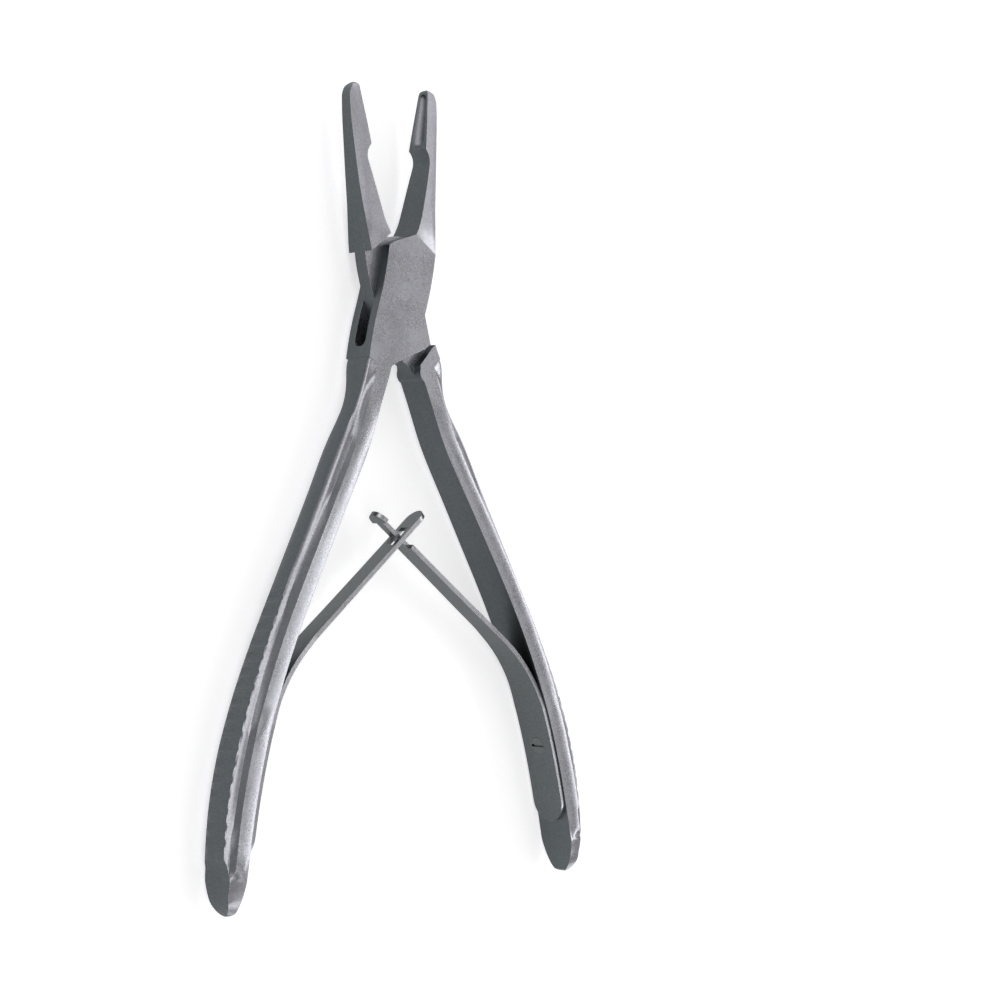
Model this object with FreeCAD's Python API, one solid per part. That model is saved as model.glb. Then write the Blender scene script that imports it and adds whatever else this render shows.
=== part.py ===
import FreeCAD, Part
import math
import os

# Bone rongeur with a box joint, scooped jaws and two crossing leaf springs.
# Millimetres. The box lies flat: +Z is the pivot axis, +Y points to the jaws, and the
# origin is on the pivot axis at the back face of the box.
# Each half is drawn in the closed position about the pivot, in a plane at mid-thickness,
# with x counted from the centre line, and is then turned open to the rest position.

# Joint
closing_angle = 24.6        # degrees from wide open to jaws together
box_thickness = 6.1
tongue_thickness = 2.7
slot_clearance = 0.05       # each face of the tongue
pin_diameter = 3.2
pin_running_clearance = 0.03
pin_seat_clearance = 0.01
waist_width = 4.85          # half width of the box at its waist
waist_height = -3.0
shoulder_gap = 0.40         # between the cheek's lower edge and the handle shoulder, closed
slot_top_radius = 9.40      # end wall of the slot on the jaw side
tongue_top_clearance = 0.30
slot_foot = 10.05           # end wall of the slot on the handle side, below the pivot

# Jaws
jaw_tip_height = 35.1
jaw_tip_radius = 1.25       # seen from the side
rim_gap = 0.06              # between the tips and the centre line, closed
rim_heel_height = 24.7
rim_heel_gap = 0.62
heel_step = 1.30            # the jaw is hollowed this far behind the heel of the rim
jaw_chamfer = 0.80
cup_heel_radius = 1.50
cup_point_radius = 0.98
cup_start = 0.45            # from the heel of the rim
cup_end = 0.85              # from the tip

# Handles
handle_end = 105.1
handle_nose = 9.0           # length of the rounded nose
flat_width = 2.8            # crowned flat beside the spring, front and back
crown_drop = 0.26           # its inner edge lies this far below its crest
cove_width = 0.60           # step between the flat and the serrated side
cove_depth = 0.62
root_round = 0.60           # edge of the serrated side where the handle meets the box
edge_round = 1.00           # and further down: this wide, and this deep
edge_round_depth = 1.90
shaping_rise = 0.30         # a handle this much deeper than the box has its full shape
full_width = 4.5            # a narrower handle has all of these in proportion
groove_count = 17
groove_pitch = 2.50
groove_depth = 0.25
groove_radius = 1.35
groove_start = 54.0         # first groove, below the pivot

# Springs
leaf_thickness = 0.80
foot_width = 7.0
tip_width = 3.5
blade_width = 4.0           # where the straight blade begins
crossing_depth = 40.9       # blades cross this far below the pivot, open
blade_start = 55.5          # the straight blade begins this far below the pivot, open
blade_standoff = 4.1        # and its middle this far in from the handle
foot_top = 70.0             # the blade leaves the handle here, open
foot_end = 90.6             # rounded end of the foot, open
leaf_seat_gap = 0.02
past_crossing = 6.7         # blade length beyond the crossing
window_width = 1.90
window_length = 4.4
neck_clearance = 0.15
head_length = 2.2

# Spring screws
screw_depth = 77.2          # below the pivot, open
screw_head_diameter = 3.0
screw_head_height = 0.75
screw_shank_diameter = 1.6
screw_length = 4.0
screw_clearance = 0.03
screw_slot_width = 0.45
screw_slot_depth = 0.35

half_angle = closing_angle / 2
half_box = box_thickness / 2
half_tongue = tongue_thickness / 2
half_slot = half_tongue + slot_clearance
far = 60.0                  # beyond the part, for cutting shapes
X_AXIS = FreeCAD.Vector(1, 0, 0)
Y_AXIS = FreeCAD.Vector(0, 1, 0)
Z_AXIS = FreeCAD.Vector(0, 0, 1)
PIVOT = FreeCAD.Vector(0, 0, 0)

# Handle sections, closed: depth below the pivot, inner side, outer side,
# half depth of the inner side, half depth of the serrated outer side
handle_sections = [
    (12.3, 0.40, 5.15, half_box - 0.04, half_box - 0.10),
    (16.2, 0.78, 5.25, 3.02, 2.60),
    (20.5, 1.45, 5.60, 3.10, 2.20),
    (26.0, 2.27, 7.35, 3.28, 2.55),
    (35.0, 4.70, 9.75, 3.50, 2.60),
    (44.0, 7.26, 12.10, 3.70, 2.62),
    (53.1, 9.81, 14.42, 3.84, 2.72),
    (62.0, 11.93, 16.50, 3.94, 3.00),
    (70.9, 13.51, 18.18, 4.00, 3.25),
    (79.6, 14.38, 19.20, 4.03, 3.42),
    (88.1, 14.56, 19.35, 4.03, 3.42),
    (96.5, 14.30, 18.50, 4.03, 3.42),
    (106.0, 13.60, 15.90, 4.03, 3.42),
]

# Jaw sections, closed: height above the pivot, outer side, half depth of the rim side,
# half depth of the outer side
jaw_sections = [
    (5.4, 5.45, half_box, half_box - 0.04),
    (8.3, 5.28, half_box, 2.92),
    (11.0, 5.05, half_box, 2.62),
    (15.6, 4.62, 2.98, 2.05),
    (20.3, 4.18, 2.72, 1.68),
    (25.1, 3.58, 2.28, 1.40),
    (29.5, 3.02, 1.80, 1.18),
    (33.0, 2.40, 1.34, 1.04),
    (36.0, 2.05, 1.10, 0.90),
]

# Plan outlines, closed
outside = 9.0               # clear of the box on either side
jaw_root = 5.4
shoulder_slope = 0.457      # of the shoulder under the other half's jaw
cheek_top = [(-4.61, 6.64), (-3.20, 7.70), (-1.50, 8.62), (0.62, 9.80)]
cheek_edge = [(6.85, -7.65), (4.60, -9.45), (3.40, -10.15), (2.10, -11.05), (0.75, -12.00),
              (-0.25, -12.85)]
crotch = [(-0.25, -12.85), (-0.55, -13.45), (-0.66, -14.1)]
box_left = [(-5.25, -12.5), (-5.30, -9.7), (-waist_width, waist_height)]
box_left_top = [(-waist_width, waist_height), (-4.55, 1.0), (-4.61, 6.64)]
box_right = [(5.36, 7.6), (5.46, 3.6), (waist_width + 0.15, waist_height)]
slot_wall = [(-0.75, -14.6), (-1.40, -13.0), (-3.30, -slot_foot - 0.8)]
tongue_left_top = [(-4.8, 11.0), (-5.55, 6.8), (-5.55, 1.6), (-waist_width - 0.2, waist_height)]
tongue_left = [(-waist_width - 0.2, waist_height), (-2.75, -10.3), (-0.85, -12.45), (0.20, -14.6)]
tongue_right = [(4.90, -14.6), (4.90, -10.5), (4.75, waist_height)]
tongue_peak = [(-0.62, 9.75), (-1.2, 11.0), (-4.8, 11.0)]
tongue_waist = (5.2, 2.5)
root_inside = [(0.62, -15.4), (0.12, -14.5), (0.10, -13.85), (0.62, -12.75), (1.0, -11.5)]
root_outside = [(1.0, -11.5), (4.30, -9.2), (4.95, -12.5), (0.62, -15.4)]
slot_opening = (88, 48)     # degrees round the pivot that the slot's end wall spans
tongue_nose = (50, 90)      # and the tongue's round end
jaw_inside = [(0.62, 9.80), (1.12, 11.4), (1.52, 15.0), (1.76, 19.0)]
jaw_point = [(0.16, 0.25), (0.50, 0.0), (1.40, 0.50)]   # inward and down from the tip
jaw_shoulder = 2.3


def vec(x, y, z=0.0):
    return FreeCAD.Vector(x, y, z)


def edges_through(runs):
    """Edges through runs of plan points: two points give a line, more a curve."""
    edges = []
    for run in runs:
        points = [vec(*p) for p in run]
        if len(points) == 2:
            edges.append(Part.LineSegment(*points).toShape())
        else:
            curve = Part.BSplineCurve()
            curve.interpolate(points)
            edges.append(curve.toShape())
    return edges


def plan_solid(runs, low, high):
    """Extrude a closed plan outline between two levels of z."""
    face = Part.Face(Part.Wire(edges_through(runs)))
    solid = face.extrude(Z_AXIS * (high - low))
    solid.translate(Z_AXIS * low)
    return solid


def closed_polygon(points):
    points = [vec(*p) for p in points]
    return Part.makePolygon(points + points[:1])


def mirrored(shape):
    return shape.mirror(PIVOT, X_AXIS)


def turned(shape, degrees, centre=PIVOT):
    copy = shape.copy()
    copy.rotate(centre, Z_AXIS, degrees)
    return copy


def between(rows, height, column):
    """Value of one column at a height, on straight lines between the rows."""
    for upper, lower in zip(rows, rows[1:]):
        if height <= lower[0]:
            share = (height - upper[0]) / (lower[0] - upper[0])
            return upper[column] + share * (lower[column] - upper[column])
    return rows[-1][column]


def handle_section(row):
    """Wire of one handle section: crowned flat, step, slope and rounded serrated side."""
    depth, inner, outer, inner_half, outer_half = row
    shaping = min(1.0, max(0.0, (inner_half - half_box) / shaping_rise))
    drop = crown_drop * shaping
    scale = min(1.0, (outer - inner) / full_width)
    flat = scale * flat_width
    crease = inner_half - 0.3 * drop
    foot = crease - min(cove_depth, 0.75 * (crease - outer_half))
    wide = scale * (root_round + (edge_round - root_round) * shaping)
    tall = root_round + (edge_round_depth - root_round) * shaping
    half = [
        (inner, inner_half - drop),
        (inner + 0.28 * flat, inner_half - 0.12 * drop),
        (inner + 0.78 * flat, inner_half),
        (inner + flat, crease),
        (inner + flat + scale * cove_width, foot),
    ]
    for angle in (90, 62, 33, 0):
        turn = math.radians(angle)
        half.append((outer - wide * (1 - math.cos(turn)),
                     outer_half - 0.03 - tall * (1 - math.sin(turn))))
    back = [(x, -z) for x, z in reversed(half)]
    return closed_polygon([(x, -depth, z) for x, z in half + back])


def handle():
    """One handle on the +x side, closed, with its nose and serrations."""
    bar = Part.makeLoft([handle_section(row) for row in handle_sections], True, False)
    nose_start = handle_end - handle_nose
    inner = between(handle_sections, handle_end, 1)
    outer = between(handle_sections, nose_start, 2)
    tip = (inner + 0.9, -handle_end)
    corner = (inner, -handle_end + 1.5)
    side_start = (outer + 0.1, -nose_start)
    clear = (outer + 4.0, -nose_start + 18.0)
    plan = plan_solid([
        [(0, 0), (0, corner[1])],
        [(0, corner[1]), corner],
        [corner, (inner + 0.25, -handle_end + 0.4), tip],
        [tip, (tip[0] + 1.5, -handle_end + 1.9), (outer - 1.75, -nose_start - 4.6), side_start],
        [side_start, clear],
        [clear, (clear[0], 0)],
        [(clear[0], 0), (0, 0)],
    ], -far, far)
    wide = between(handle_sections, nose_start, 3) + 0.02
    nose = Part.Ellipse(vec(0, -handle_end), vec(0, -nose_start, wide), vec(0, -nose_start))
    arc = nose.toShape(-math.pi / 2, math.pi / 2)
    ends = [vertex.Point for vertex in arc.Vertexes]
    top = [vec(0, 0, end.z) for end in ends]
    side = Part.Wire([
        arc,
        Part.LineSegment(ends[1], top[1]).toShape(),
        Part.LineSegment(top[1], top[0]).toShape(),
        Part.LineSegment(top[0], ends[0]).toShape(),
    ])
    bar = bar.common(plan).common(Part.Face(side).extrude(X_AXIS * far))
    grooves = []
    for index in range(groove_count):
        depth = groove_start + index * groove_pitch
        centre = between(handle_sections, depth, 2) + groove_radius - groove_depth
        base = vec(centre, -depth, -far)
        grooves.append(Part.makeCylinder(groove_radius, 2 * far, base, Z_AXIS))
    return bar.cut(grooves)


def jaw_section(row):
    """Wire of one jaw section: deep at the rim, shallower outside, with a bevel."""
    height, outer, rim_half, outer_half = row
    crease = outer_half + 0.45 * (rim_half - outer_half)
    half = [(0.0, rim_half), (outer - jaw_chamfer, crease), (outer, outer_half)]
    back = [(x, -z) for x, z in reversed(half)]
    return closed_polygon([(x, height, z) for x, z in half + back])


def cup():
    """The scoop: a taper with round ends, lying in the plane of the rim."""
    low = rim_heel_height + cup_start + cup_heel_radius
    high = jaw_tip_height - cup_end - cup_point_radius
    taper = math.asin((cup_heel_radius - cup_point_radius) / (high - low))
    balls = []
    rings = []
    for height, radius in ((low, cup_heel_radius), (high, cup_point_radius)):
        balls.append(Part.makeSphere(radius, vec(0, height), X_AXIS))
        rings.append((height + radius * math.sin(taper), radius * math.cos(taper)))
    length = rings[1][0] - rings[0][0]
    cone = Part.makeCone(rings[0][1], rings[1][1], length, vec(0, rings[0][0]), Y_AXIS)
    cone.rotate(PIVOT, Y_AXIS, 45)
    rise = jaw_tip_height - rim_heel_height
    lean = math.degrees(math.atan((rim_heel_gap - rim_gap) / rise))
    tools = []
    for tool in balls + [cone]:
        tool.translate(X_AXIS * rim_gap)
        tools.append(turned(tool, lean, vec(rim_gap, jaw_tip_height)))
    return tools


def jaw():
    """One jaw on the +x side, closed, with its scooped cup."""
    bar = Part.makeLoft([jaw_section(row) for row in jaw_sections], True, False)
    heel = (rim_heel_gap, rim_heel_height)
    hollow = (rim_heel_gap + heel_step, rim_heel_height - 2.7)
    behind = (hollow[0] - 0.2 * heel_step, rim_heel_height - 1.2)
    tip = jaw_tip_height
    point = [(x, tip - drop) for x, drop in jaw_point]
    rim_end = (rim_gap, tip - 0.9)
    shoulder = tip - jaw_shoulder
    outer = between(jaw_sections, shoulder, 1) + 0.02
    clear = (outer + 4.0, shoulder - 4.0)
    plan = plan_solid([
        jaw_inside + [hollow],
        [hollow, behind, heel],
        [heel, rim_end],
        [rim_end, point[0], point[1]],
        [point[1], point[2], (outer, shoulder)],
        [(outer, shoulder), clear],
        [clear, (clear[0], jaw_root)],
        [(clear[0], jaw_root), jaw_inside[0]],
    ], -far, far)
    radius = jaw_tip_radius
    centre = tip - radius
    top = Part.Arc(vec(0, centre, radius), vec(0, tip), vec(0, centre, -radius))
    side = Part.Wire([
        top.toShape(),
        Part.LineSegment(vec(0, centre, -radius), vec(0, 0, -far)).toShape(),
        Part.LineSegment(vec(0, 0, -far), vec(0, 0, far)).toShape(),
        Part.LineSegment(vec(0, 0, far), vec(0, centre, radius)).toShape(),
    ])
    side_solid = Part.Face(side).extrude(X_AXIS * far)
    return bar.common(plan).common(side_solid).cut(cup())


def box():
    """Block of the slotted half, jaw at +x and handle at -x, closed."""
    return plan_solid([
        cheek_top,
        [cheek_top[-1], box_right[0]],
        box_right,
        [box_right[-1], cheek_edge[0]],
        cheek_edge,
        crotch,
        [crotch[-1], box_left[0]],
        box_left,
        box_left_top,
    ], -half_box, half_box)


def round_arc(radius, first, last):
    """Arc about the pivot between two angles in degrees, with its end points."""
    points = []
    for angle in (first, (first + last) / 2, last):
        turn = math.radians(angle)
        points.append((radius * math.cos(turn), radius * math.sin(turn)))
    return Part.Arc(*[vec(*p) for p in points]).toShape(), points[0], points[-1]


def slot():
    """Room for the tongue, from side to side between the two cheeks."""
    arc, first, last = round_arc(slot_top_radius, *slot_opening)
    foot_in = slot_wall[-1]
    foot_out = (-outside, -slot_foot)
    above = jaw_inside[1][1] + tongue_top_clearance * 2
    loop = edges_through([
        [last, (outside, last[1])],
        [(outside, last[1]), (outside, slot_wall[0][1])],
        [(outside, slot_wall[0][1]), slot_wall[0]],
        slot_wall[:2],
        slot_wall[1:],
        [foot_in, foot_out],
        [foot_out, (-outside, above)],
        [(-outside, above), (first[0], above)],
        [(first[0], above), first],
    ])
    room = Part.Face(Part.Wire([arc] + loop)).extrude(Z_AXIS * (2 * half_slot))
    room.translate(Z_AXIS * -half_slot)
    foot = [vec((foot_in[0] + foot_out[0]) / 2, (foot_in[1] + foot_out[1]) / 2, z)
            for z in (half_slot, -half_slot)]
    corners = []
    for edge in room.Edges:
        if min((edge.CenterOfMass - middle).Length for middle in foot) < 1e-3:
            corners.append(edge)
    return room.makeFillet(0.85 * half_slot, corners)


def tongue_plate():
    """The middle layer of the other half: jaw at -x, handle at +x, closed."""
    arc, first, last = round_arc(slot_top_radius - tongue_top_clearance, *tongue_nose)
    runs = [[last, tongue_peak[0]], tongue_peak[:2], tongue_peak[1:], tongue_left_top]
    runs += [tongue_left[:2], tongue_left[1:3], tongue_left[2:]]
    runs += [[tongue_left[-1], tongue_right[0]], tongue_right]
    runs += [[tongue_right[-1], tongue_waist, first]]
    plate = Part.Face(Part.Wire([arc] + edges_through(runs))).extrude(Z_AXIS * tongue_thickness)
    plate.translate(Z_AXIS * -half_tongue)
    return plate


def cheek_recess():
    """What is milled off both faces of the tongue half between its two shoulders."""
    lowered = [(x, y - shoulder_gap) for x, y in cheek_edge[1:]]
    slope = (lowered[0][1] - lowered[1][1]) / (lowered[0][0] - lowered[1][0])
    right = (outside, lowered[0][1] + slope * (outside - lowered[0][0]))
    peak = cheek_top[-1]
    top = (outside, peak[1] + shoulder_slope * (outside + peak[0]))
    left = (-outside, peak[1] - shoulder_slope * (outside - peak[0]))
    low_left = (-outside, lowered[-1][1] - 1.0)
    runs = [[left, top], [top, right], [right, lowered[0]], lowered, [lowered[-1], low_left],
            [low_left, left]]
    return [plan_solid(runs, half_tongue, far), plan_solid(runs, -far, -half_tongue)]


def handle_root():
    """Full-thickness root of the handle on the +x side of the tongue half, closed."""
    straight = [list(pair) for pair in zip(root_outside, root_outside[1:])]
    return plan_solid([root_inside] + straight, -half_box, half_box)


def box_half():
    """Slotted half, closed: right jaw, box and left handle in one forging."""
    body = box().fuse([jaw(), mirrored(handle())]).removeSplitter()
    bore = Part.makeCylinder(pin_diameter / 2 + pin_seat_clearance, far, vec(0, 0, -far / 2))
    return body.cut([slot(), bore, mirrored(screw_hole())])


def tongue_half():
    """Other half, closed: left jaw, tongue and right handle in one forging."""
    body = handle_root().fuse([mirrored(jaw()), handle()]).cut(cheek_recess())
    body = body.fuse(tongue_plate()).removeSplitter()
    bore = Part.makeCylinder(pin_diameter / 2 + pin_running_clearance, far, vec(0, 0, -far / 2))
    return body.cut([bore, screw_hole()])


def pivot_pin():
    return Part.makeCylinder(pin_diameter / 2, box_thickness, vec(0, 0, -half_box))


def inner_side(depth, offset):
    """Point and direction on the open handle's inner side, a distance in from the metal."""
    turn = math.radians(half_angle)
    points = []
    for row in handle_sections:
        points.append(vec(row[1] * math.cos(turn) + row[0] * math.sin(turn),
                          row[1] * math.sin(turn) - row[0] * math.cos(turn)))
    curve = Part.BSplineCurve()
    curve.interpolate(points)
    level = Part.LineSegment(vec(-far, -depth), vec(far, -depth))
    crossing = curve.intersect(level)[0]
    place = vec(crossing.X, crossing.Y)
    upwards = curve.tangent(curve.parameter(place))[0]
    if upwards.y < 0:
        upwards = upwards * -1
    inwards = vec(-upwards.y, upwards.x)
    return place + inwards * offset, upwards


def blade_line():
    """Middle of the open blade on the +x side where it begins, and its direction."""
    start = inner_side(blade_start, blade_standoff)[0]
    along = vec(0, -crossing_depth) - start
    return start, along.normalize()


def leaf_side(offset):
    """One face line of a leaf on the +x side, open, a distance in from the handle."""
    steps = [foot_end + (foot_top - foot_end) * index / 3 for index in range(4)]
    foot = [inner_side(depth, offset)[0] for depth in steps]
    leaving = inner_side(foot_top, offset)[1]
    start, along = blade_line()
    inwards = vec(-along.y, along.x)
    shift = inwards * (offset - leaf_seat_gap - leaf_thickness / 2)
    blade = [start + shift, vec(0, -crossing_depth) + along * past_crossing + shift]
    span = (blade[0] - foot[-1]).Length
    bend = Part.BSplineCurve()
    bend.interpolate(Points=[foot[-1], blade[0]], InitialTangent=leaving * span,
                     FinalTangent=along * span)
    spline = Part.BSplineCurve()
    spline.interpolate(foot)
    return [spline.toShape(), bend.toShape(), Part.LineSegment(*blade).toShape()], foot[0], blade[1]


def blade_box(first, last, width):
    """Box along the blade on the +x side, from one place to another past the crossing."""
    along = blade_line()[1]
    block = Part.makeBox(last - first, 4 * leaf_thickness, width,
                         vec(first, -2 * leaf_thickness, -width / 2))
    block.rotate(PIVOT, Z_AXIS, math.degrees(math.atan2(along.y, along.x)))
    block.translate(vec(0, -crossing_depth))
    return block


def leaf_blank():
    """Leaf spring on the +x side, open: a bent strip, wide at the foot, rounded at its ends."""
    near, foot_near, tip_near = leaf_side(leaf_seat_gap)
    away, foot_away, tip_away = leaf_side(leaf_seat_gap + leaf_thickness)
    ends = [Part.LineSegment(foot_near, foot_away).toShape(),
            Part.LineSegment(tip_near, tip_away).toShape()]
    outline = Part.Wire(Part.__sortEdges__(near + away + ends))
    strip = Part.Face(outline).extrude(Z_AXIS * foot_width)
    strip.translate(Z_AXIS * (-foot_width / 2))
    foot_half = foot_width / 2
    tip_half = tip_width / 2
    top = tip_near.y + 0.2
    cap = top - 1.15 * tip_half * blade_line()[1].y
    round_low = -foot_end + foot_half
    low_arc = Part.Arc(vec(0, round_low, foot_half), vec(0, -foot_end), vec(0, round_low, -foot_half))
    high_arc = Part.Arc(vec(0, cap, -tip_half), vec(0, top), vec(0, cap, tip_half))
    side = []
    for sign in (1, -1):
        run = Part.BSplineCurve()
        run.interpolate([vec(0, round_low, sign * foot_half), vec(0, -foot_top, sign * foot_half),
                         vec(0, -blade_start, sign * blade_width / 2),
                         vec(0, -crossing_depth - 3, sign * tip_half), vec(0, cap, sign * tip_half)])
        side.append(run.toShape())
    profile = Part.Wire(Part.__sortEdges__([low_arc.toShape(), high_arc.toShape()] + side))
    return strip.common(Part.Face(profile).extrude(X_AXIS * far).fuse(
        Part.Face(profile).extrude(X_AXIS * -far)).removeSplitter())


def screw_place():
    """Point where the spring screw's axis meets the handle, and its direction outwards."""
    place, upwards = inner_side(screw_depth, 0.0)
    return place, vec(upwards.y, -upwards.x)


def screw_shape(clearance):
    """Countersunk screw on the +x side, open, grown by a clearance for its hole."""
    place, outwards = screw_place()
    top = place - outwards * (leaf_seat_gap + leaf_thickness)
    head = Part.makeCone(screw_head_diameter / 2 + clearance, screw_shank_diameter / 2 + clearance,
                         screw_head_height, top, outwards)
    shank = Part.makeCylinder(screw_shank_diameter / 2 + clearance, screw_length + clearance,
                              top + outwards * (0.9 * screw_head_height), outwards)
    return head.fuse(shank).removeSplitter()


def screw_hole():
    """Screw hole of the handle on the +x side, closed."""
    return turned(screw_shape(screw_clearance), -half_angle)


def spring_screw():
    """Slotted countersunk screw on the +x side, open."""
    place, outwards = screw_place()
    top = place - outwards * (leaf_seat_gap + leaf_thickness)
    slit = Part.makeBox(2 * screw_slot_depth, screw_slot_width, 2 * screw_head_diameter,
                        vec(-screw_slot_depth, -screw_slot_width / 2, -screw_head_diameter))
    slit.rotate(PIVOT, Z_AXIS, math.degrees(math.atan2(outwards.y, outwards.x)))
    slit.translate(top)
    return screw_shape(0.0).cut(slit)


def leaf_with_hole():
    return leaf_blank().cut(screw_shape(screw_clearance))


def window_leaf():
    """Left leaf: its rounded end has a window for the other leaf."""
    window = blade_box(-window_length * 0.48, window_length * 0.52, window_width)
    return mirrored(leaf_with_hole().cut(window))


def headed_leaf():
    """Right leaf: a narrow neck through the window and a head as wide as the blade."""
    neck = window_width - 2 * neck_clearance
    start = -window_length * 0.5
    end = past_crossing - head_length
    waste = blade_box(start, end, 2 * tip_width).cut(blade_box(start, end, neck))
    return leaf_with_hole().cut(waste)


nodes = {
    "box_half": turned(box_half(), -half_angle),
    "tongue_half": turned(tongue_half(), half_angle),
    "pivot_pin": pivot_pin(),
    "left_leaf_spring": window_leaf(),
    "right_leaf_spring": headed_leaf(),
    "left_spring_screw": mirrored(spring_screw()),
    "right_spring_screw": spring_screw(),
}

os.makedirs("parts", exist_ok=True)
for name, shape in nodes.items():
    shape.translate(Z_AXIS * half_box)
    solid = shape.Solids[0]
    print(name, len(shape.Solids), shape.isValid(), round(shape.Volume, 2), shape.BoundBox)
    solid.exportStep("parts/" + name + ".step")
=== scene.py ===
import bmesh
import bpy
import math
import numpy as np
from mathutils import Matrix, Vector


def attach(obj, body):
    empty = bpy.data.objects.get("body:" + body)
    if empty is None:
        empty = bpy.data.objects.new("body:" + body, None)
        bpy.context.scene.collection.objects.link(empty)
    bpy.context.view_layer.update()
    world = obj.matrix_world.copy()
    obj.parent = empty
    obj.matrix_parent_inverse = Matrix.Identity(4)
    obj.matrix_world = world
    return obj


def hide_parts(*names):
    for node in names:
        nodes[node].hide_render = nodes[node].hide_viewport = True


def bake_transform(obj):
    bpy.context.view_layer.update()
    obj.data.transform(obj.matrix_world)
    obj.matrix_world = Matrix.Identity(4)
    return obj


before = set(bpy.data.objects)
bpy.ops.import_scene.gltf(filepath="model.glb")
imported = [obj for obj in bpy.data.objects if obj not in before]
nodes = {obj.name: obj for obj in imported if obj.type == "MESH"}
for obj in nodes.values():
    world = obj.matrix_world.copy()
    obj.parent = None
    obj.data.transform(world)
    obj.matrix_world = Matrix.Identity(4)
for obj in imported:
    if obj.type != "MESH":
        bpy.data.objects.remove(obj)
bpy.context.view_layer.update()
mm = 0.001


# Helpers

def newMaterial(name):
    # An empty node material with a Principled BSDF and its output.
    material = bpy.data.materials.new(name)
    material.use_nodes = True
    tree = material.node_tree
    tree.nodes.clear()
    output = tree.nodes.new("ShaderNodeOutputMaterial")
    shader = tree.nodes.new("ShaderNodeBsdfPrincipled")
    tree.links.new(shader.outputs["BSDF"], output.inputs["Surface"])
    return material, tree, shader


def newGroup(name, inputs, outputs):
    # A shader group: its inputs are (name, kind, default), its outputs (name, kind).
    group = bpy.data.node_groups.new(name, "ShaderNodeTree")
    for label, kind, value in inputs:
        socket = group.interface.new_socket(name=label, in_out="INPUT", socket_type=kind)
        socket.default_value = value
    for label, kind in outputs:
        group.interface.new_socket(name=label, in_out="OUTPUT", socket_type=kind)
    return group, group.nodes.new("NodeGroupInput"), group.nodes.new("NodeGroupOutput")


def noise(tree, vector, scale, detail, roughness):
    node = tree.nodes.new("ShaderNodeTexNoise")
    node.inputs["Scale"].default_value = scale
    node.inputs["Detail"].default_value = detail
    node.inputs["Roughness"].default_value = roughness
    tree.links.new(vector, node.inputs["Vector"])
    return node.outputs["Fac"]


def remap(tree, value, fromLow, fromHigh, toLow, toHigh, smooth=False):
    node = tree.nodes.new("ShaderNodeMapRange")
    node.interpolation_type = "SMOOTHSTEP" if smooth else "LINEAR"
    for label, number in (("From Min", fromLow), ("From Max", fromHigh),
                          ("To Min", toLow), ("To Max", toHigh)):
        node.inputs[label].default_value = number
    tree.links.new(value, node.inputs["Value"])
    return node.outputs["Result"]


def maths(tree, operation, first, second):
    node = tree.nodes.new("ShaderNodeMath")
    node.operation = operation
    for index, value in enumerate((first, second)):
        if isinstance(value, (int, float)):
            node.inputs[index].default_value = value
        else:
            tree.links.new(value, node.inputs[index])
    return node.outputs["Value"]


def mixColour(tree, factor, first, second, blend="MIX"):
    node = tree.nodes.new("ShaderNodeMix")
    node.data_type = "RGBA"
    node.blend_type = blend
    for socket, value in ((node.inputs["Factor"], factor), (node.inputs["A"], first),
                          (node.inputs["B"], second)):
        if isinstance(value, (int, float)):
            socket.default_value = value
        elif isinstance(value, tuple):
            socket.default_value = (*value, 1.0)
        else:
            tree.links.new(value, socket)
    return node.outputs["Result"]


# Shared finishes

satin = {
    "flat": (0.32, 0.80),           # how far a surface faces along the pivot: painted-shade wall, flat side
    "jaws": (0.0085, 0.0125),       # m towards the jaws: handle and box, jaw
    "speckScale": 2600.0,           # noise cells per m
    "cloudScale": 160.0,
    "lineScale": (900.0, 60.0, 900.0),
    "noiseRange": (0.3, 0.7),       # the part of the noise that is used
    "speckle": (0.80, 1.20),        # brightness, times the colour
    "clouds": (0.93, 1.07),
    "lines": (0.96, 1.04),
    "roughClouds": (-0.03, 0.03),   # added roughness
    "bumpDepth": 0.00002,           # m
    "edgeSamples": 6,
}


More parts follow.
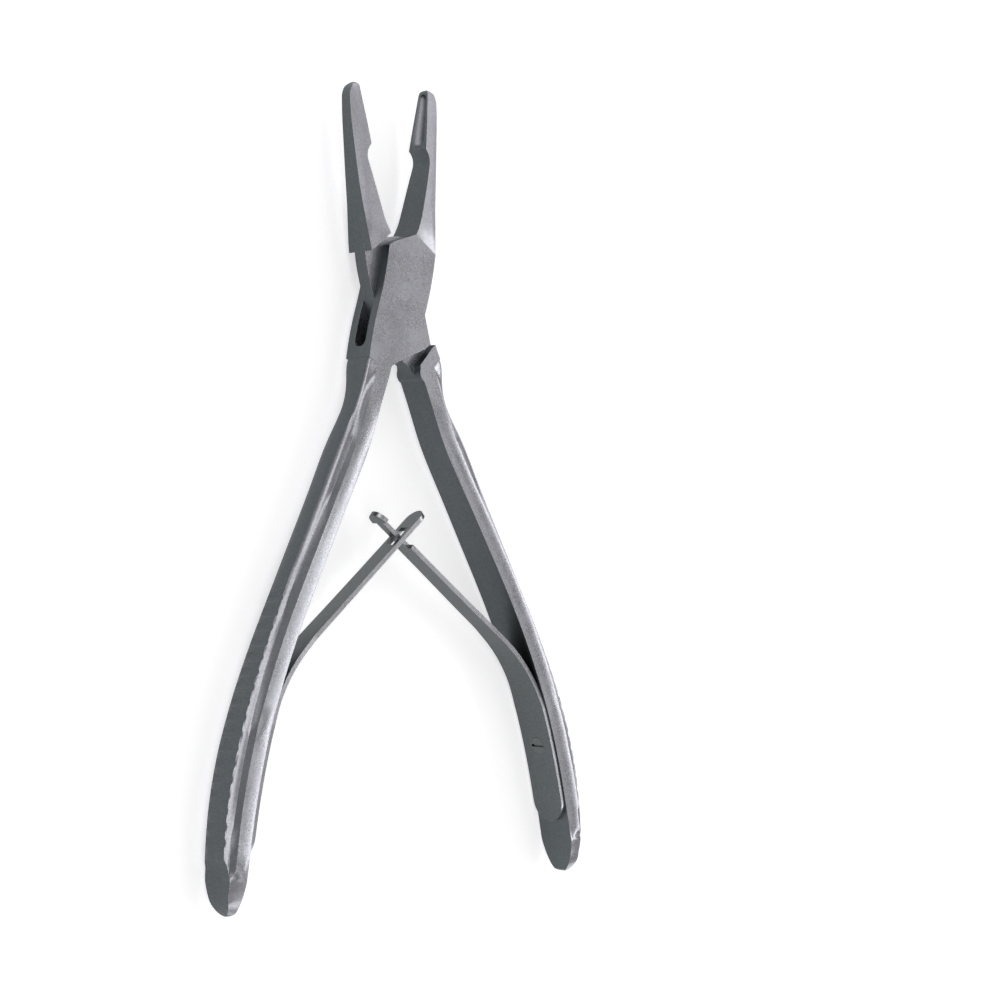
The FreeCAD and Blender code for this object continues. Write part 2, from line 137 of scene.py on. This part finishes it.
def makeSatinGroup():
    # Blasted satin steel. The walls round the flat sides are painted darker than the flat sides, a
    # painted shade for the dark surroundings they reflect, told apart by how far the surface faces
    # the pivot's direction, and the jaws' flat sides have a roughness of their own. The colour is
    # multiplied by fine grain, clouds and faint grinding lines, and the clouds are added to the
    # roughness.
    group, given, out = newGroup("satinSteelPaintedShade", [
        ("Face", "NodeSocketColor", (0.6, 0.6, 0.62, 1.0)),
        ("ShadedWall", "NodeSocketColor", (0.2, 0.21, 0.21, 1.0)),
        ("Grain", "NodeSocketFloat", 1.0),
        ("Smooth", "NodeSocketFloat", 0.3),
        ("Dull", "NodeSocketFloat", 0.4),
        ("Jaw", "NodeSocketFloat", 0.4),
    ], [("Color", "NodeSocketColor"), ("Roughness", "NodeSocketFloat"),
        ("Height", "NodeSocketFloat")])
    link = group.links.new
    place = group.nodes.new("ShaderNodeTexCoord").outputs["Object"]
    parts = group.nodes.new("ShaderNodeSeparateXYZ")
    link(group.nodes.new("ShaderNodeNewGeometry").outputs["Normal"], parts.inputs[0])
    facing = maths(group, "ABSOLUTE", parts.outputs["Z"], 0.0)
    faceMask = remap(group, facing, *satin["flat"], 0.0, 1.0, True)
    speck = noise(group, place, satin["speckScale"], detail=2.0, roughness=0.6)
    cloud = noise(group, place, satin["cloudScale"], detail=4.0, roughness=0.6)
    lines = group.nodes.new("ShaderNodeMapping")
    lines.inputs["Scale"].default_value = satin["lineScale"]
    link(place, lines.inputs["Vector"])
    streak = noise(group, lines.outputs["Vector"], 1.0, detail=2.0, roughness=0.5)
    # Painted shade: the walls get the darker wall colour, the flat sides the steel's own colour.
    tone = mixColour(group, faceMask, given.outputs["ShadedWall"], given.outputs["Face"])
    speckle = remap(group, speck, *satin["noiseRange"], *satin["speckle"])
    cloudy = remap(group, cloud, *satin["noiseRange"], *satin["clouds"])
    lined = remap(group, streak, *satin["noiseRange"], *satin["lines"])
    shade = maths(group, "MULTIPLY", maths(group, "MULTIPLY", speckle, cloudy), lined)
    join = group.nodes.new("ShaderNodeCombineColor")
    for label in ("Red", "Green", "Blue"):
        link(shade, join.inputs[label])
    link(mixColour(group, given.outputs["Grain"], tone,
                   mixColour(group, 1.0, tone, join.outputs["Color"], "MULTIPLY")),
         out.inputs["Color"])
    blendRough = group.nodes.new("ShaderNodeMix")
    link(faceMask, blendRough.inputs["Factor"])
    link(given.outputs["Dull"], blendRough.inputs["A"])
    split = group.nodes.new("ShaderNodeSeparateXYZ")
    link(place, split.inputs[0])
    onJaw = remap(group, split.outputs["Y"], *satin["jaws"], 0.0, 1.0, True)
    jawRough = group.nodes.new("ShaderNodeMix")
    link(onJaw, jawRough.inputs["Factor"])
    link(given.outputs["Smooth"], jawRough.inputs["A"])
    link(given.outputs["Jaw"], jawRough.inputs["B"])
    link(jawRough.outputs["Result"], blendRough.inputs["B"])
    wobble = remap(group, cloud, *satin["noiseRange"], *satin["roughClouds"])
    link(maths(group, "ADD", blendRough.outputs["Result"], wobble), out.inputs["Roughness"])
    link(maths(group, "ADD", speck, streak), out.inputs["Height"])
    return group


satinGroup = makeSatinGroup()


def makeSteel(name, face, wall, smooth, dull, grain, bump, edge, jaw=0.4):
    # A metal that takes its colour, with painted shade on the walls, and roughness from the satin
    # group. Its edges look rounded by the given radius, and the group's height raises the grain.
    material, tree, shader = newMaterial(name)
    group = tree.nodes.new("ShaderNodeGroup")
    group.node_tree = satinGroup
    group.inputs["Face"].default_value = (*face, 1.0)
    # The wall colour is painted shade, darker than the flat sides.
    group.inputs["ShadedWall"].default_value = (*wall, 1.0)
    group.inputs["Grain"].default_value = grain
    group.inputs["Smooth"].default_value = smooth
    group.inputs["Dull"].default_value = dull
    group.inputs["Jaw"].default_value = jaw
    shader.inputs["Metallic"].default_value = 1.0
    tree.links.new(group.outputs["Color"], shader.inputs["Base Color"])
    tree.links.new(group.outputs["Roughness"], shader.inputs["Roughness"])
    rounded = tree.nodes.new("ShaderNodeBevel")
    rounded.samples = satin["edgeSamples"]
    rounded.inputs["Radius"].default_value = edge * mm
    raised = tree.nodes.new("ShaderNodeBump")
    tree.links.new(rounded.outputs["Normal"], raised.inputs["Normal"])
    raised.inputs["Strength"].default_value = bump
    raised.inputs["Distance"].default_value = satin["bumpDepth"]
    tree.links.new(group.outputs["Height"], raised.inputs["Height"])
    tree.links.new(raised.outputs["Normal"], shader.inputs["Normal"])
    return material


# Face, wall: colour of the flat sides, and painted shade of the walls. Smooth, dull, jaw: roughness
# of the flat sides, of the walls and of the jaws' flat sides. Edge: mm.
steel = {
    "forged": dict(face=(0.50, 0.50, 0.54), wall=(0.100, 0.112, 0.117), smooth=0.27, dull=0.42,
                   grain=0.6, bump=0.35, edge=0.10, jaw=0.50),
    "spring": dict(face=(0.54, 0.54, 0.575), wall=(0.11, 0.122, 0.126), smooth=0.28, dull=0.38,
                   grain=0.6, bump=0.3, edge=0.10),
    "screw": dict(face=(0.5, 0.5, 0.52), wall=(0.125, 0.135, 0.138), smooth=0.25, dull=0.3,
                  grain=0.5, bump=0.2, edge=0.05),
    "pin": dict(face=(0.49, 0.49, 0.53), wall=(0.2, 0.2, 0.21), smooth=0.30, dull=0.3,
                grain=0.7, bump=0.4, edge=0.05),
}
finish = {name: makeSteel(name + "Steel", **values) for name, values in steel.items()}

for nodeName, finishName in (("pivot_pin", "pin"), ("left_spring_screw", "screw"),
                             ("right_spring_screw", "screw")):
    mesh = nodes[nodeName].data
    mesh.materials.clear()
    mesh.materials.append(finish[finishName])
print("finishes on the pin and screws")


# Forged halves

forging = {
    "crease": 34.0,      # degrees; flatter edges are blended smooth, as linishing leaves them
    "weld": 0.002,       # mm
    "middle": 3.05,      # height of the middle plane, mm
    "boxFace": 3.05,     # from the middle to the box's flat
    "flush": 0.08,       # a handle's root this little below the flat is ground level with it
    "turn": 12.3,        # degrees that each half stands open
    "flatWidth": 2.8,    # of the smooth flat beside the serrated side
    "stepWidth": 0.60,
    "fullWidth": 4.5,    # narrower handles have a narrower flat and step
    # Along the closed handle: depth below the pivot, inner wall, outer side, its half height.
    "depths": (12.3, 16.2, 20.5, 26.0, 35.0, 44.0, 53.1, 62.0, 70.9, 79.6, 88.1, 96.5, 106.0),
    "inner": (0.40, 0.78, 1.45, 2.27, 4.70, 7.26, 9.81, 11.93, 13.51, 14.38, 14.56, 14.30, 13.60),
    "outer": (5.15, 5.25, 5.60, 7.35, 9.75, 12.10, 14.42, 16.50, 18.18, 19.20, 19.35, 18.50, 15.90),
    "outerHalf": (2.95, 2.60, 2.20, 2.55, 2.60, 2.62, 2.72, 3.00, 3.25, 3.42, 3.42, 3.42, 3.42),
    "lowerFrom": (14.2, 20.0, 30.0, 60.0, 76.0, 104.0),   # serrated side ground lower: depths
    "lowerShare": (0.0, 0.07, 0.09, 0.12, 0.15, 0.15),    # and shares of its height
    "backShare": 0.4,                    # of the front's
    "topFrom": 0.70,                     # of the half height; the sides below it stay
    "topRun": 0.2,
    "flatRows": (1.0, 0.78, 0.28),       # lines along the flat, shares of its width
    "rowReach": 0.03,
    "rowHeight": 3.0,                    # a line's points lie above this
    "raiseFrom": (20.0, 40.0),           # depths between which the raise comes in
    "leftRaise": (0.078, -0.05, -0.10),  # mm
    "rightRaise": (0.0, 0.0, -0.12),
}


def eased(share):
    # Smoothstep: 3 x share squared - 2 x share cubed.
    return share * share * (3 - 2 * share)


def smoothForging(name, node, body, side):
    # The solid's own surface with its facets joined, smooth but for the creases. A point's
    # height from the middle plane is h, and roots just below the box's flat get the flat's h.
    # With the half turned to its closed position, the serrated side's h becomes
    # h x (1 - lower share at this depth x eased distance past the flat's edge x eased height),
    # and the back has backShare of that. A line along the flat gets h + raise x its share
    # between the two depths of raiseFrom.
    work = bmesh.new()
    work.from_mesh(nodes[node].data)
    middle = forging["middle"] * mm
    face = forging["boxFace"] * mm
    for vertex in work.verts:
        height = abs(vertex.co.z - middle)
        if face - forging["flush"] * mm < height < face:
            vertex.co.z = middle + math.copysign(face, vertex.co.z - middle)
    bmesh.ops.remove_doubles(work, verts=work.verts, dist=forging["weld"] * mm)
    mesh = bpy.data.meshes.new(name)
    work.to_mesh(mesh)
    work.free()
    points = np.empty(len(mesh.vertices) * 3)
    mesh.vertices.foreach_get("co", points)
    points = points.reshape(-1, 3) / mm
    angle = math.radians(forging["turn"]) * side
    across = side * (points[:, 0] * math.cos(angle) + points[:, 1] * math.sin(angle))
    depth = -(points[:, 1] * math.cos(angle) - points[:, 0] * math.sin(angle))
    inner = np.interp(depth, forging["depths"], forging["inner"])
    outer = np.interp(depth, forging["depths"], forging["outer"])
    scale = np.minimum(1.0, (outer - inner) / forging["fullWidth"])
    edge = inner + scale * forging["flatWidth"]
    step = np.clip((across - edge) / (scale * forging["stepWidth"]), 0.0, 1.0)
    share = np.interp(depth, forging["lowerFrom"], forging["lowerShare"])
    height = points[:, 2] - forging["middle"]
    tall = np.abs(height) / np.interp(depth, forging["depths"], forging["outerHalf"])
    top = eased(np.clip((tall - forging["topFrom"]) / forging["topRun"], 0.0, 1.0))
    top = top * np.where(height > 0, 1.0, forging["backShare"])
    onHandle = depth > forging["lowerFrom"][0]
    height = height * np.where(onHandle, 1 - share * top * eased(step), 1.0)
    crest = np.interp(depth, forging["raiseFrom"], (0.0, 1.0))
    flatShare = (across - inner) / (edge - inner)
    raises = forging["leftRaise"] if side < 0 else forging["rightRaise"]
    for row, raised in zip(forging["flatRows"], raises):
        onRow = (onHandle & (np.abs(height) > forging["rowHeight"])
                 & (np.abs(flatShare - row) < forging["rowReach"]))
        height = height + np.sign(height) * crest * raised * onRow
    points[:, 2] = forging["middle"] + height
    mesh.vertices.foreach_set("co", (points * mm).ravel())
    if "custom_normal" in mesh.attributes:
        mesh.attributes.remove(mesh.attributes["custom_normal"])
    mesh.polygons.foreach_set("use_smooth", np.ones(len(mesh.polygons), bool))
    mesh.set_sharp_from_angle(angle=math.radians(forging["crease"]))
    mesh.materials.clear()
    mesh.materials.append(finish["forged"])
    piece = bpy.data.objects.new(name, mesh)
    bpy.context.scene.collection.objects.link(piece)
    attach(piece, body)
    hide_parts(node)


smoothForging("slottedHalf", "box_half", "box_side", -1)
smoothForging("tongueHalf", "tongue_half", "tongue_side", 1)
print("forged halves")


# Leaf springs

leaf = {
    # Middle of the strip, right leaf, from foot to tip, mm.
    "path": [(34.009, -90.669), (33.067, -85.474), (31.984, -80.306), (30.703, -75.184),
             (29.170, -70.132), (27.626, -66.433), (25.529, -63.016), (22.946, -59.949),
             (19.988, -57.241), (13.695, -52.095), (7.401, -46.950), (1.107, -41.805),
             (-5.187, -36.659)],
    "middle": 3.05,                # height of the strip's middle line, mm
    "thickness": 0.80,
    "footWidth": 7.0,
    "bladeWidth": 4.0,
    "tipWidth": 3.5,
    "windowWidth": 1.9,
    "windowFrom": -2.11,           # along the blade from the crossing, mm
    "windowTo": 2.29,
    "neckWidth": 1.6,
    "neckFrom": -2.2,
    "neckTo": 4.5,
    "pastCrossing": 6.7,
    "holeRadius": 1.53,            # at the leaf's outer face
    "holeAt": (31.27, -77.3),
    "edge": 0.13,                  # bevel
    "edgeAngle": 50.0,             # degrees; sharper edges than this are bevelled
    "edgeSegments": 2,
    "taper": (0.0, 0.30, 0.55, 0.80, 1.0),   # of the length: foot, foot, blade, tip, tip
    "tipRound": 1.15,              # length of the rounded tip, of its half width
    "leastHalf": 0.02,             # half width left at either end
    "lineRows": 220,               # samples along the path
    "rowLength": 0.6,
    "lastRow": 0.3,                # the even rows end this far before the rounded tip
    "endRows": (9, 8),             # rows in the rounded foot and tip
    "cutReach": 0.22,              # no other row lies this near an end of window or neck
    "sameRow": 0.0001,             # rows this close are one row
    "rowDigits": 5,                # decimals that rows are told apart by
    "columnCounts": (5, 7),        # beside the window or neck, and across it
    "holeReach": 0.98,             # of the radius; points inside it go with the hole
    "bendFrom": (0.0303, -0.0740, 0.00305),   # right leaf, m: still with the handle
    "bendTo": (0.0215, -0.0585, 0.00305),     # wholly with the blade
}


def smoothPath(points, count):
    # A curve through the points, sampled at even lengths. With t from 0 to 1 on each span, it
    # is the cubic that meets both points and, at each, the gradient of the points by chord
    # length.
    points = np.array(points, float)
    chord = np.concatenate([[0.0], np.cumsum(np.linalg.norm(np.diff(points, axis=0), axis=1))])
    slopes = np.gradient(points, chord, axis=0)
    samplesPerPoint = 40
    fine = np.linspace(0.0, chord[-1], samplesPerPoint * len(points))
    index = np.clip(np.searchsorted(chord, fine, side="right") - 1, 0, len(points) - 2)
    span = (chord[index + 1] - chord[index])[:, None]
    t = ((fine - chord[index]) / span[:, 0])[:, None]
    curve = ((2 * t**3 - 3 * t**2 + 1) * points[index]
             + (t**3 - 2 * t**2 + t) * span * slopes[index]
             + (3 * t**2 - 2 * t**3) * points[index + 1]
             + (t**3 - t**2) * span * slopes[index + 1])
    run = np.concatenate([[0.0], np.cumsum(np.linalg.norm(np.diff(curve, axis=0), axis=1))])
    even = np.linspace(0.0, run[-1], count)
    return np.stack([np.interp(even, run, curve[:, axis]) for axis in (0, 1)], axis=1), even


def stripGrid(side, headed):
    # Middle surface of a leaf. Rows follow the path and columns run across the width, so a
    # point is path(row) + column share x half width(row) along z. The half width runs straight
    # from the foot's to the blade's and the tip's, and closes as a circle at both ends. Cells
    # of the window, or beside the neck, and of the screw hole are left out, and the hole's rim
    # is pulled onto its circle.
    line, run = smoothPath(leaf["path"], leaf["lineRows"])
    length = run[-1]
    crossing = length - leaf["pastCrossing"]
    cuts = ([leaf["neckFrom"], leaf["neckTo"]] if headed
            else [leaf["windowFrom"], leaf["windowTo"]])
    footHalf = leaf["footWidth"] / 2
    tipHalf = leaf["tipWidth"] / 2
    tipRound = tipHalf * leaf["tipRound"]
    footRows, tipRows = leaf["endRows"]
    stops = np.concatenate([
        footHalf * (1 - np.cos(np.linspace(0.0, math.pi / 2, footRows))),
        np.arange(footHalf + leaf["rowLength"], length - tipRound - leaf["lastRow"],
                  leaf["rowLength"]),
        length - tipRound * (1 - np.sin(np.linspace(0.0, math.pi / 2, tipRows))),
        [crossing + cut for cut in cuts],
    ])
    stops = np.unique(np.round(stops, leaf["rowDigits"]))
    keep = np.ones(len(stops), bool)
    for cut in cuts:
        near = np.abs(stops - (crossing + cut))
        keep &= (near < leaf["sameRow"]) | (near > leaf["cutReach"])
    stops = stops[keep]
    centre = np.stack([np.interp(stops, run, line[:, axis]) for axis in (0, 1)], axis=1)
    taper = np.interp(stops, [length * share for share in leaf["taper"]],
                      [footHalf, footHalf, leaf["bladeWidth"] / 2, tipHalf, tipHalf])
    low = np.sqrt(np.clip(1 - (1 - np.minimum(stops / footHalf, 1.0))**2, 0.0, 1.0))
    high = np.sqrt(np.clip(1 - (1 - np.minimum((length - stops) / tipRound, 1.0))**2, 0.0, 1.0))
    half = np.maximum(taper * low * high, leaf["leastHalf"])
    inner = (leaf["neckWidth"] if headed else leaf["windowWidth"]) / 2 / tipHalf
    besideCount, innerCount = leaf["columnCounts"]
    shares = np.concatenate([np.linspace(-1.0, -inner, besideCount)[:-1],
                             np.linspace(-inner, inner, innerCount),
                             np.linspace(inner, 1.0, besideCount)[1:]])
    grid = np.zeros((len(stops), len(shares), 3))
    grid[:, :, 0] = side * centre[:, 0:1]
    grid[:, :, 1] = centre[:, 1:2]
    grid[:, :, 2] = leaf["middle"] + half[:, None] * shares[None, :]
    rows, columns = grid.shape[:2]
    holeRun = run[np.argmin(np.hypot(line[:, 0] - leaf["holeAt"][0],
                                     line[:, 1] - leaf["holeAt"][1]))]
    along = np.repeat((stops - holeRun)[:, None], columns, axis=1)
    offset = grid[:, :, 2] - leaf["middle"]
    reach = np.hypot(along, offset)
    corner = np.arange(rows * columns).reshape(rows, columns)
    cells = np.stack([corner[:-1, :-1], corner[:-1, 1:], corner[1:, 1:], corner[1:, :-1]], axis=-1)
    middleRun = ((stops[:-1] + stops[1:]) / 2 - crossing)[:, None]
    middleShare = ((shares[:-1] + shares[1:]) / 2)[None, :]
    inCut = (middleRun > cuts[0]) & (middleRun < cuts[1])
    removed = inCut & ((np.abs(middleShare) > inner) if headed else (np.abs(middleShare) < inner))
    insideHole = reach < leaf["holeRadius"] * leaf["holeReach"]
    holeCells = (insideHole[:-1, :-1] | insideHole[:-1, 1:] | insideHole[1:, 1:]
                 | insideHole[1:, :-1])
    removed |= holeCells
    rim = np.zeros_like(insideHole)
    for rowShift in (0, 1):
        for columnShift in (0, 1):
            rim[rowShift:rows - 1 + rowShift, columnShift:columns - 1 + columnShift] |= holeCells
    rim &= ~insideHole
    notZero = 1e-6
    scale = np.where(rim, leaf["holeRadius"] / np.maximum(reach, notZero), 1.0)
    newRun = np.clip(holeRun + along * scale, 0.0, length)
    for axis in (0, 1):
        bent = np.interp(newRun, run, line[:, axis]) * (side if axis == 0 else 1.0)
        grid[:, :, axis] = np.where(rim, bent, grid[:, :, axis])
    grid[:, :, 2] = np.where(rim, leaf["middle"] + offset * scale, grid[:, :, 2])
    faces = cells[~removed]
    if side < 0:
        faces = faces[:, ::-1]
    return grid.reshape(-1, 3) * mm, faces


def applyModifiers(piece):
    # Turn the live modifiers into the piece's own mesh.
    view = bpy.context.evaluated_depsgraph_get()
    mesh = bpy.data.meshes.new_from_object(piece.evaluated_get(view))
    piece.modifiers.clear()
    piece.data = mesh


def buildLeaf(name, node, side, headed):
    # The strip's middle surface, given its thickness to both sides and bevelled edges.
    points, faces = stripGrid(side, headed)
    used = np.unique(faces)
    order = np.full(len(points), -1)
    order[used] = np.arange(len(used))
    mesh = bpy.data.meshes.new(name)
    mesh.from_pydata(points[used].tolist(), [], order[faces].tolist())
    mesh.polygons.foreach_set("use_smooth", np.ones(len(mesh.polygons), bool))
    mesh.materials.append(finish["spring"])
    piece = bpy.data.objects.new(name, mesh)
    bpy.context.scene.collection.objects.link(piece)
    wall = piece.modifiers.new("thickness", "SOLIDIFY")
    wall.thickness = leaf["thickness"] * mm
    wall.offset = 0.0
    wall.use_even_offset = True
    soft = piece.modifiers.new("edges", "BEVEL")
    soft.width = leaf["edge"] * mm
    soft.segments = leaf["edgeSegments"]
    soft.limit_method = "ANGLE"
    soft.angle_limit = math.radians(leaf["edgeAngle"])
    soft.harden_normals = True
    applyModifiers(piece)
    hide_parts(node)
    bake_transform(piece)


buildLeaf("leftLeaf", "left_leaf_spring", -1, False)
buildLeaf("rightLeaf", "right_leaf_spring", 1, True)
print("leaf springs")


# Floor, lamps and camera

stage = {
    "floorLevel": -1.05,       # mm, just under the handles' backs
    "floorSize": 3.0,          # m
    "floorColour": (0.86, 0.86, 0.87),
    "floorRoughness": 0.9,
    "glow": 0.50,              # added brightness of the background, of 1 for white
    "world": 0.26,             # strength of the white sky
    "lampsOver": (0.0, -0.03, 0.0),    # m; lamp directions are from here, towards the lamp
    "cameraPlace": (-0.29525, -0.03735, 0.35492),
    "cameraRight": (0.7415, -0.0175, 0.6708),
    "cameraUp": (0.0093, 0.99983, 0.0158),
    "lens": 99.6,              # mm
    "sensorWidth": 36.0,
}


def makeFloor():
    # A flat square. What the camera, reflections and clear parts see of it glows towards white,
    # and it keeps the object's shadow.
    material, tree, shader = newMaterial("paleFloor")
    shader.inputs["Base Color"].default_value = (*stage["floorColour"], 1.0)
    shader.inputs["Roughness"].default_value = stage["floorRoughness"]
    rays = tree.nodes.new("ShaderNodeLightPath")
    seen = maths(tree, "MAXIMUM", rays.outputs["Is Camera Ray"],
                 maths(tree, "MAXIMUM", rays.outputs["Is Glossy Ray"],
                       rays.outputs["Is Transmission Ray"]))
    tree.links.new(maths(tree, "MULTIPLY", seen, stage["glow"]),
                   shader.inputs["Emission Strength"])
    shader.inputs["Emission Color"].default_value = (1.0, 1.0, 1.0, 1.0)
    side = stage["floorSize"] / 2
    level = stage["floorLevel"] * mm
    mesh = bpy.data.meshes.new("floor")
    mesh.from_pydata([(-side, -side, level), (side, -side, level), (side, side, level),
                      (-side, side, level)], [], [(0, 1, 2, 3)])
    mesh.materials.append(material)
    floor = bpy.data.objects.new("floor", mesh)
    bpy.context.scene.collection.objects.link(floor)


# Distance and size in m, power in W.
lamps = {
    "low": dict(direction=(0.81, 0.05, 0.585), distance=0.8, size=(0.17, 1.4), power=1.8),
    "key": dict(direction=(0.40, 0.0, 0.917), distance=0.9, size=(0.20, 1.4), power=0.5),
    "above": dict(direction=(-0.36, 0.0, 0.93), distance=1.0, size=(0.42, 1.4), power=2.0),
    "left": dict(direction=(-0.86, 0.05, 0.50), distance=0.9, size=(0.30, 1.4), power=0.5),
    "head": dict(direction=(0.05, 0.86, 0.50), distance=1.1, size=(1.3, 0.5), power=3.0),
    "foot": dict(direction=(0.05, -0.86, 0.50), distance=1.1, size=(1.3, 0.5), power=2.0),
}


def makeLamp(name, direction, distance, size, power):
    # A rectangle lamp that faces the middle of the object. Its size is across and along the
    # line from the handles to the jaws.
    away = Vector(direction).normalized()
    across = Vector((0.0, 1.0, 0.0)).cross(away).normalized()
    along = away.cross(across)
    data = bpy.data.lights.new(name, "AREA")
    data.shape = "RECTANGLE"
    data.size, data.size_y = size
    data.energy = power
    lamp = bpy.data.objects.new(name, data)
    turn = Matrix((across, along, away)).transposed()
    place = away * distance + Vector(stage["lampsOver"])
    lamp.matrix_world = Matrix.Translation(place) @ turn.to_4x4()
    bpy.context.scene.collection.objects.link(lamp)


def makeWorld():
    # An even white sky, weak enough for the metal's walls to stay dark.
    world = bpy.data.worlds.new("studio")
    world.use_nodes = True
    tree = world.node_tree
    tree.nodes.clear()
    output = tree.nodes.new("ShaderNodeOutputWorld")
    sky = tree.nodes.new("ShaderNodeBackground")
    sky.inputs["Color"].default_value = (1.0, 1.0, 1.0, 1.0)
    sky.inputs["Strength"].default_value = stage["world"]
    tree.links.new(sky.outputs["Background"], output.inputs["Surface"])
    bpy.context.scene.world = world


def makeCamera():
    # The photograph's viewing angle, from the handles' left and in front of the box.
    right = Vector(stage["cameraRight"]).normalized()
    up = Vector(stage["cameraUp"])
    back = right.cross(up).normalized()
    up = back.cross(right)
    data = bpy.data.cameras.new("camera")
    data.sensor_width = stage["sensorWidth"]
    data.lens = stage["lens"]
    camera = bpy.data.objects.new("camera", data)
    turn = Matrix((right, up, back)).transposed()
    camera.matrix_world = Matrix.Translation(Vector(stage["cameraPlace"])) @ turn.to_4x4()
    bpy.context.scene.collection.objects.link(camera)
    bpy.context.scene.camera = camera


makeFloor()
for lampName, values in lamps.items():
    makeLamp(lampName, **values)
makeWorld()
makeCamera()
bpy.context.scene.view_settings.view_transform = "Standard"
print("floor, lamps and camera")
